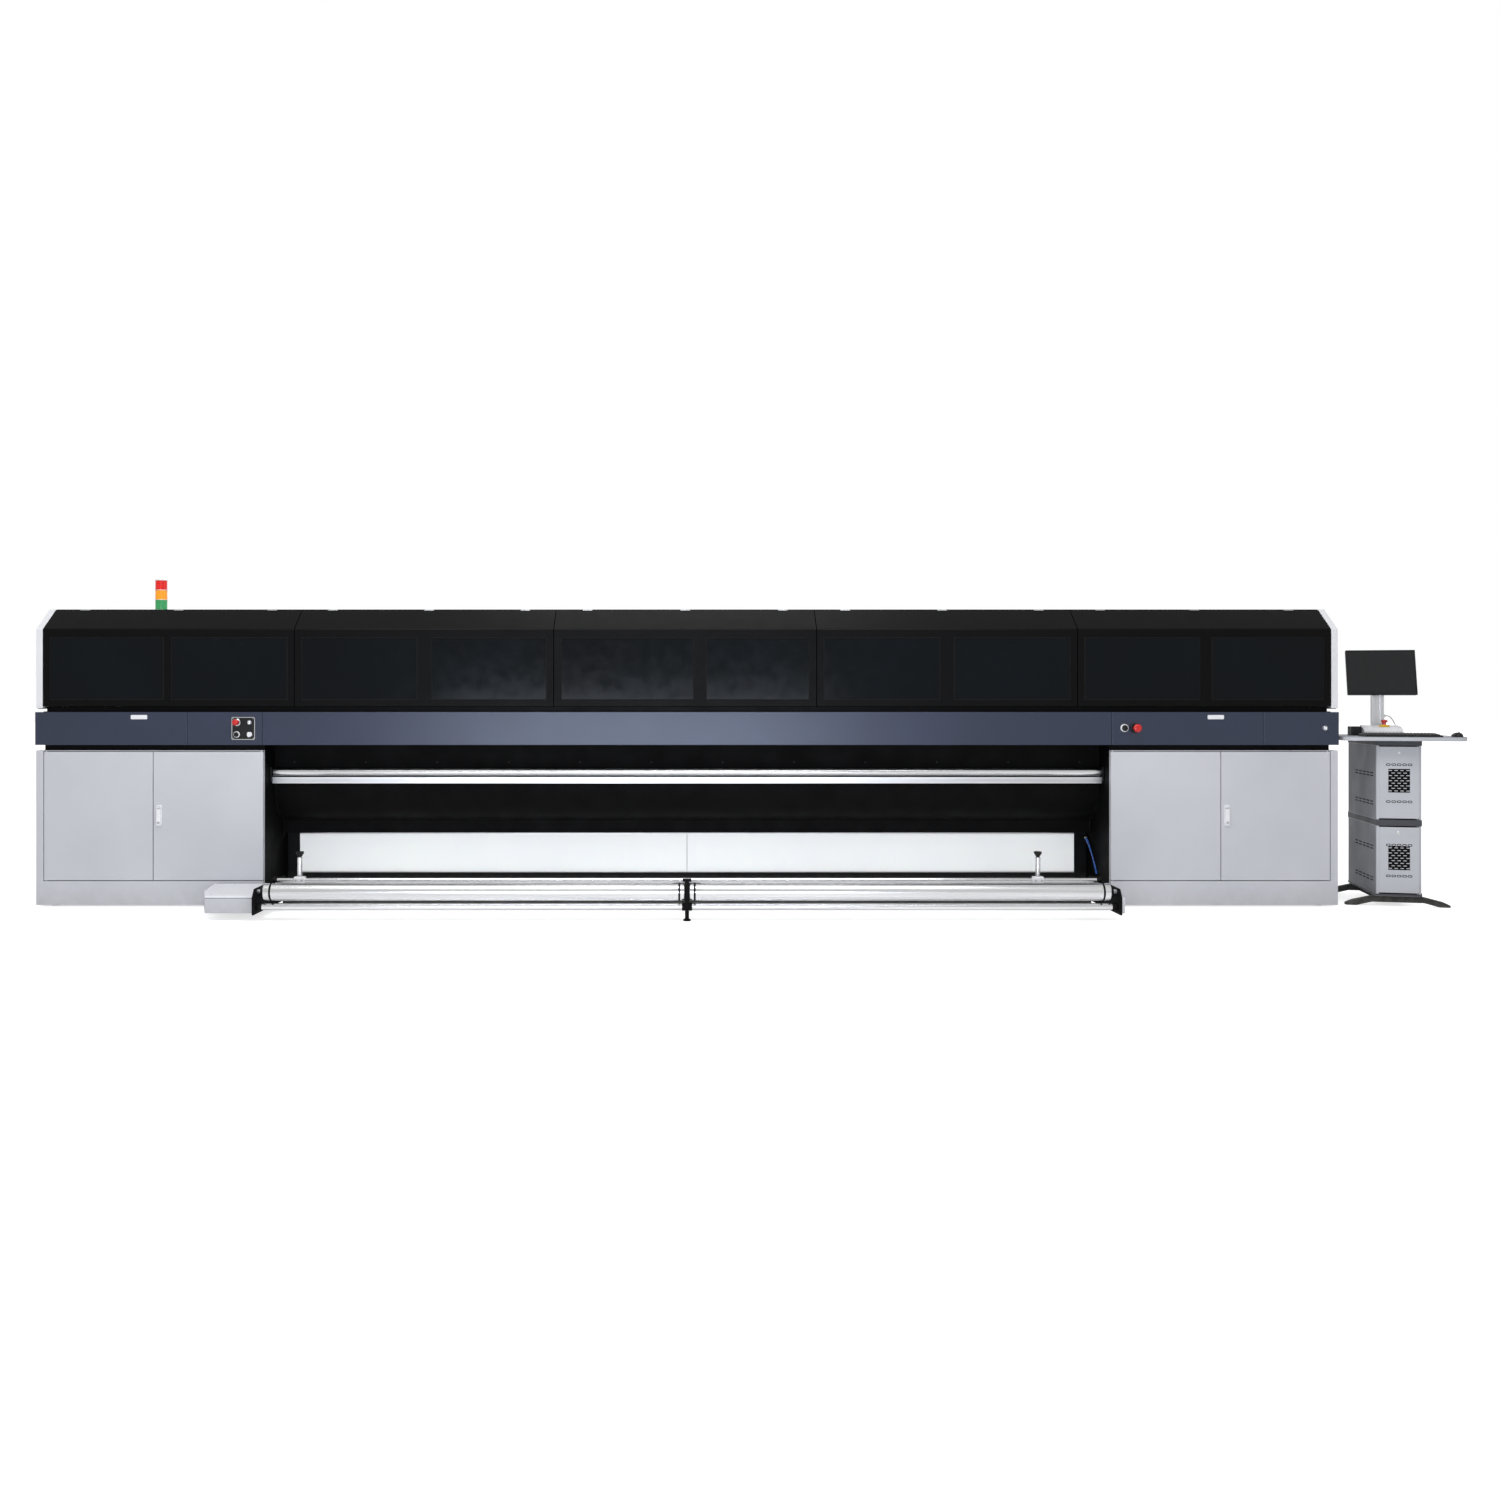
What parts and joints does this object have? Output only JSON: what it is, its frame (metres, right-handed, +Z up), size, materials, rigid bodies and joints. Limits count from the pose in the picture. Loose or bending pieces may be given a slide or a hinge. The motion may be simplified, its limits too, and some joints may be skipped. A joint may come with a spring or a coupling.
{
  "type": "flatbed uv printer",
  "caption": "Wide roll-to-roll UV printer with a windowed hood, take-up unit, cabinets and an operator console.",
  "frame": {"origin": "on the floor under the middle of the whole, printer and console together", "axes": "+X along the printer towards the console, +Y from the operator side to the unwind side, +Z up"},
  "size_m": [8.993, 2.335, 2.085],
  "materials": {
    "cabinet_enamel": "satin powder-coated sheet steel",
    "fascia_enamel": "satin blue-grey lacquer",
    "black_enamel": "satin black powder coat",
    "hood_black": "semi-gloss black sheet with dark tinted panes",
    "end_panel_enamel": "satin light grey",
    "cast_platen": "ground",
    "anodised_aluminium": "satin anodised",
    "polished_steel": "turned and polished",
    "diffuser_acrylic": "opal",
    "drive_rubber": "ground",
    "tower_plastic": "translucent lens stack",
    "stop_red": "moulded",
    "button_white": "moulded",
    "hose_blue": "extruded",
    "lead_black": "extruded",
    "console_enamel": "satin powder coat",
    "desk_laminate": "fine-grained laminate",
    "device_black": "moulded",
    "handle_white": "moulded"
  },
  "bodies": {
    "root": {"base_frame": "black_enamel", "levelling_feet": "black_enamel", "left_cabinet": "cabinet_enamel", "right_cabinet": "cabinet_enamel", "beam_fascia": "fascia_enamel", "platen": "cast_platen", "gantry_beam": "black_enamel", "hood_shell": "hood_black", "hood_end_left": "end_panel_enamel", "hood_end_right": "end_panel_enamel", "signal_tower": "tower_plastic", "control_panel": "device_black", "deflector": "black_enamel", "light_box": "end_panel_enamel", "light_diffusers": "diffuser_acrylic", "guide_profile": "anodised_aluminium", "takeup_frame": "black_enamel", "tie_tubes": "polished_steel", "centre_support": "black_enamel", "takeup_covers": "end_panel_enamel", "air_hoses": "hose_blue", "unwind_frame": "black_enamel", "console_base": "black_enamel", "console_cabinet": "console_enamel", "console_top": "desk_laminate", "monitor_post": "anodised_aluminium", "stop_box": "handle_white", "keyboard_and_mouse": "device_black", "keyboard_lead": "lead_black"},
    "cover_1": {"cover_1": "hood_black"},
    "cover_2": {"cover_2": "hood_black"},
    "cover_3": {"cover_3": "hood_black"},
    "cover_4": {"cover_4": "hood_black"},
    "cover_5": {"cover_5": "hood_black"},
    "left_outer_door": {"left_outer_door": "cabinet_enamel"},
    "left_inner_door": {"left_inner_door": "cabinet_enamel"},
    "right_inner_door": {"right_inner_door": "cabinet_enamel"},
    "right_outer_door": {"right_outer_door": "cabinet_enamel"},
    "left_handle": {"left_handle": "handle_white"},
    "right_handle": {"right_handle": "handle_white"},
    "print_carriage": {"print_carriage": "device_black"},
    "drive_roller": {"drive_roller": "drive_rubber"},
    "pinch_roller": {"pinch_roller": "drive_rubber"},
    "guide_roller": {"guide_roller": "polished_steel"},
    "takeup_shaft_left": {"takeup_shaft_left": "polished_steel"},
    "takeup_shaft_right": {"takeup_shaft_right": "polished_steel"},
    "unwind_shaft": {"unwind_shaft": "polished_steel"},
    "edge_guide_left": {"edge_guide_left": "anodised_aluminium"},
    "edge_guide_right": {"edge_guide_right": "anodised_aluminium"},
    "beam_stop_button": {"beam_stop_button": "stop_red"},
    "beam_start_button": {"beam_start_button": "button_white"},
    "panel_stop_button": {"panel_stop_button": "stop_red"},
    "panel_start_button": {"panel_start_button": "button_white"},
    "panel_selector": {"panel_selector": "polished_steel"},
    "panel_lever": {"panel_lever": "button_white"},
    "key_lock": {"key_lock": "polished_steel"},
    "console_upper_door": {"console_upper_door": "console_enamel"},
    "console_lower_door": {"console_lower_door": "console_enamel"},
    "monitor": {"monitor": "device_black"},
    "console_stop_button": {"console_stop_button": "stop_red"}
  },
  "joints": [
    {"name": "cover_1_hinge", "type": "hinge", "parent": "root", "child": "cover_1", "pos_m": [-3.65972, -0.4005, 1.868], "axis": [-1, 0, 0], "range_deg": [0, 75]},
    {"name": "cover_2_hinge", "type": "hinge", "parent": "root", "child": "cover_2", "pos_m": [-2.06012, -0.4005, 1.868], "axis": [-1, 0, 0], "range_deg": [0, 75]},
    {"name": "cover_3_hinge", "type": "hinge", "parent": "root", "child": "cover_3", "pos_m": [-0.42502, -0.4005, 1.868], "axis": [-1, 0, 0], "range_deg": [0, 75]},
    {"name": "cover_4_hinge", "type": "hinge", "parent": "root", "child": "cover_4", "pos_m": [1.21508, -0.4005, 1.868], "axis": [-1, 0, 0], "range_deg": [0, 75]},
    {"name": "cover_5_hinge", "type": "hinge", "parent": "root", "child": "cover_5", "pos_m": [2.82618, -0.4005, 1.868], "axis": [-1, 0, 0], "range_deg": [0, 75]},
    {"name": "left_outer_door_hinge", "type": "hinge", "parent": "root", "child": "left_outer_door", "pos_m": [-4.42652, -0.5625, 0.57], "axis": [0, 0, -1], "range_deg": [0, 110]},
    {"name": "left_inner_door_hinge", "type": "hinge", "parent": "root", "child": "left_inner_door", "pos_m": [-3.08052, -0.5625, 0.57], "axis": [0, 0, 1], "range_deg": [0, 90]},
    {"name": "right_inner_door_hinge", "type": "hinge", "parent": "root", "child": "right_inner_door", "pos_m": [2.25348, -0.5625, 0.57], "axis": [0, 0, -1], "range_deg": [0, 90]},
    {"name": "right_outer_door_hinge", "type": "hinge", "parent": "root", "child": "right_outer_door", "pos_m": [3.59948, -0.5625, 0.57], "axis": [0, 0, 1], "range_deg": [0, 110]},
    {"name": "left_handle_pull", "type": "hinge", "parent": "left_inner_door", "child": "left_handle", "pos_m": [-3.71802, -0.578, 0.615], "axis": [-1, 0, 0], "range_deg": [0, 60]},
    {"name": "right_handle_pull", "type": "hinge", "parent": "right_outer_door", "child": "right_handle", "pos_m": [2.96698, -0.578, 0.615], "axis": [-1, 0, 0], "range_deg": [0, 60]},
    {"name": "carriage_travel", "type": "slide", "parent": "root", "child": "print_carriage", "axis": [1, 0, 0], "range_m": [-6.9, 0]},
    {"name": "drive_roller_spin", "type": "hinge", "parent": "root", "child": "drive_roller", "pos_m": [-0.41352, -0.4225, 1.15], "axis": [1, 0, 0], "continuous": true},
    {"name": "pinch_roller_spin", "type": "hinge", "parent": "root", "child": "pinch_roller", "pos_m": [-0.41352, -0.4225, 1.2355], "axis": [1, 0, 0], "continuous": true},
    {"name": "guide_roller_spin", "type": "hinge", "parent": "root", "child": "guide_roller", "pos_m": [-0.41352, -0.4125, 0.834], "axis": [1, 0, 0], "continuous": true},
    {"name": "takeup_left_spin", "type": "hinge", "parent": "root", "child": "takeup_shaft_left", "pos_m": [-1.61352, -1.0925, 0.172], "axis": [1, 0, 0], "continuous": true},
    {"name": "takeup_right_spin", "type": "hinge", "parent": "root", "child": "takeup_shaft_right", "pos_m": [0.78648, -1.0925, 0.172], "axis": [1, 0, 0], "continuous": true},
    {"name": "unwind_spin", "type": "hinge", "parent": "root", "child": "unwind_shaft", "pos_m": [-0.41352, 1.0575, 0.43], "axis": [1, 0, 0], "continuous": true},
    {"name": "edge_guide_left_slide", "type": "slide", "parent": "root", "child": "edge_guide_left", "axis": [1, 0, 0], "range_m": [-0.1, 2.2]},
    {"name": "edge_guide_right_slide", "type": "slide", "parent": "root", "child": "edge_guide_right", "axis": [1, 0, 0], "range_m": [-1.98, 0.32]},
    {"name": "beam_stop_press", "type": "slide", "parent": "root", "child": "beam_stop_button", "axis": [0, 1, 0], "range_m": [0, 0.006], "stiffness_N_per_m": 900, "springref_m": -0.003},
    {"name": "beam_start_press", "type": "slide", "parent": "root", "child": "beam_start_button", "axis": [0, 1, 0], "range_m": [0, 0.005], "stiffness_N_per_m": 900, "springref_m": -0.003},
    {"name": "panel_stop_press", "type": "slide", "parent": "root", "child": "panel_stop_button", "axis": [0, 1, 0], "range_m": [0, 0.006], "stiffness_N_per_m": 900, "springref_m": -0.003},
    {"name": "panel_start_press", "type": "slide", "parent": "root", "child": "panel_start_button", "axis": [0, 1, 0], "range_m": [0, 0.005], "stiffness_N_per_m": 900, "springref_m": -0.003},
    {"name": "panel_selector_turn", "type": "hinge", "parent": "root", "child": "panel_selector", "pos_m": [-3.14952, -0.5725, 1.154], "axis": [0, -1, 0], "range_deg": [-45, 45]},
    {"name": "panel_lever_turn", "type": "hinge", "parent": "root", "child": "panel_lever", "pos_m": [-3.14952, -0.5725, 1.078], "axis": [0, -1, 0], "range_deg": [-60, 60]},
    {"name": "key_lock_turn", "type": "hinge", "parent": "root", "child": "key_lock", "pos_m": [3.57948, -0.5725, 1.11809], "axis": [0, -1, 0], "range_deg": [0, 90]},
    {"name": "console_upper_door_hinge", "type": "hinge", "parent": "root", "child": "console_upper_door", "pos_m": [4.14495, -0.59863, 0.78], "axis": [0, 0, 1], "range_deg": [0, 110]},
    {"name": "console_lower_door_hinge", "type": "hinge", "parent": "root", "child": "console_lower_door", "pos_m": [4.14495, -0.59863, 0.29], "axis": [0, 0, 1], "range_deg": [0, 110]},
    {"name": "monitor_tilt", "type": "hinge", "parent": "root", "child": "monitor", "pos_m": [4.12089, -0.20196, 1.465], "axis": [0.9781, -0.2079, 0], "range_deg": [-9, 11]},
    {"name": "console_stop_press", "type": "slide", "parent": "root", "child": "console_stop_button", "axis": [0, 0, -1], "range_m": [0, 0.006], "stiffness_N_per_m": 900, "springref_m": -0.004}
  ],
  "couplings": [
    {"joint": "pinch_roller_spin", "follows": "drive_roller_spin", "ratio": -2.4}
  ]
}
